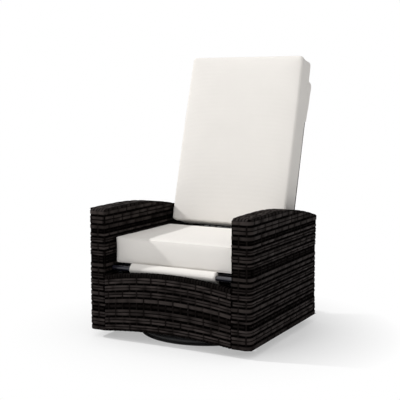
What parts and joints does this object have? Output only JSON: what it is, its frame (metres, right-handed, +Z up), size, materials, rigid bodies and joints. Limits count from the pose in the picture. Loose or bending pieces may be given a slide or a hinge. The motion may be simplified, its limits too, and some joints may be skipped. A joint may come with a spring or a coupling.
{
  "type": "swivel recliner",
  "caption": "Woven synthetic rattan armchair on a round swivel ring base, with a leaning back that reclines and swings a padded footrest out over the front panel.",
  "frame": {"origin": "on the floor at the swivel axis, the middle of the base's glide strip", "axes": "+X towards the sitter's left, the sitter faces -Y, +Z up along the swivel axis"},
  "size_m": [0.74, 0.8612, 1.1717],
  "materials": {
    "black_tube": "gloss black powder coat",
    "inner_frame": "mill finish, hidden in the weave",
    "weave": "dark brown flat synthetic rattan strands",
    "dark_plate": "satin black powder coat",
    "bare_steel": "zinc plated",
    "bronze": "dull",
    "plastic": "black glide strip",
    "webbing": "elastic webbing",
    "cushion_fabric": "plain off-white outdoor fabric, piped at no edge"
  },
  "bodies": {
    "base": {"base_ring": "black_tube", "base_spoke_front": "black_tube", "base_spoke_rear": "black_tube", "base_spoke_left": "black_tube", "base_spoke_right": "black_tube", "base_hub": "black_tube", "base_glide": "plastic", "lower_swivel_plate": "dark_plate", "ball_cage": "bronze", "swivel_balls": "bare_steel", "king_bolt": "bare_steel", "king_nut": "bare_steel"},
    "chassis": {"upper_swivel_plate": "dark_plate", "cross_tube_front": "black_tube", "cross_tube_rear": "black_tube", "swivel_bolts": "bare_steel", "arm_weave_left": "weave", "arm_weave_right": "weave", "arm_frame_left": "inner_frame", "arm_frame_right": "inner_frame", "apron_weave": "weave", "apron_frame": "inner_frame", "skirt_weave": "weave", "skirt_frame": "inner_frame", "seat_rail_left": "black_tube", "seat_rail_right": "black_tube", "seat_front_tube": "black_tube", "seat_rear_tube": "black_tube", "seat_straps": "webbing", "seat_cushion": "cushion_fabric", "recline_bracket_left": "dark_plate", "recline_bracket_right": "dark_plate", "footrest_bracket_left": "dark_plate", "footrest_bracket_right": "dark_plate", "bracket_screws": "bare_steel"},
    "back": {"back_hoop": "black_tube", "back_cross_tubes": "black_tube", "back_weave": "weave", "back_ear_left": "dark_plate", "back_ear_right": "dark_plate", "recline_pins": "bare_steel", "friction_washers": "bronze", "lever_pins": "bare_steel", "back_cushion": "cushion_fabric", "cushion_pocket": "cushion_fabric"},
    "footrest_links": {"footrest_shaft": "black_tube", "footrest_link_left": "dark_plate", "footrest_link_right": "dark_plate", "crank_pins": "bare_steel", "footrest_pins": "bare_steel"},
    "footrest": {"footrest_nose_tube": "black_tube", "footrest_arm_left": "dark_plate", "footrest_arm_right": "dark_plate", "footrest_bars": "black_tube", "footrest_pad": "cushion_fabric"},
    "drive_rods": {"drive_rod_left": "dark_plate", "drive_rod_right": "dark_plate"}
  },
  "joints": [
    {"name": "swivel", "type": "hinge", "parent": "base", "child": "chassis", "pos_m": [0, 0, 0.0335], "axis": [0, 0, 1], "continuous": true},
    {"name": "recline", "type": "hinge", "parent": "chassis", "child": "back", "pos_m": [0, 0.275, 0.33], "axis": [-1, 0, 0], "range_deg": [0, 35]},
    {"name": "footrest_swing", "type": "hinge", "parent": "chassis", "child": "footrest_links", "pos_m": [0, -0.315, 0.096], "axis": [1, 0, 0], "range_deg": [0, 100.5]},
    {"name": "footrest_tilt", "type": "hinge", "parent": "footrest_links", "child": "footrest", "pos_m": [0, -0.1302, 0.0493], "axis": [-1, 0, 0], "range_deg": [0, 60]},
    {"name": "rod_turn", "type": "hinge", "parent": "footrest_links", "child": "drive_rods", "pos_m": [0, -0.29106, 0.09767], "axis": [-1, 0, 0], "range_deg": [0, 102.75]}
  ],
  "couplings": [
    {"joint": "footrest_swing", "follows": "recline", "ratio": 2.8714},
    {"joint": "footrest_tilt", "follows": "recline", "ratio": 1.7143},
    {"joint": "rod_turn", "follows": "recline", "ratio": 2.9357}
  ]
}
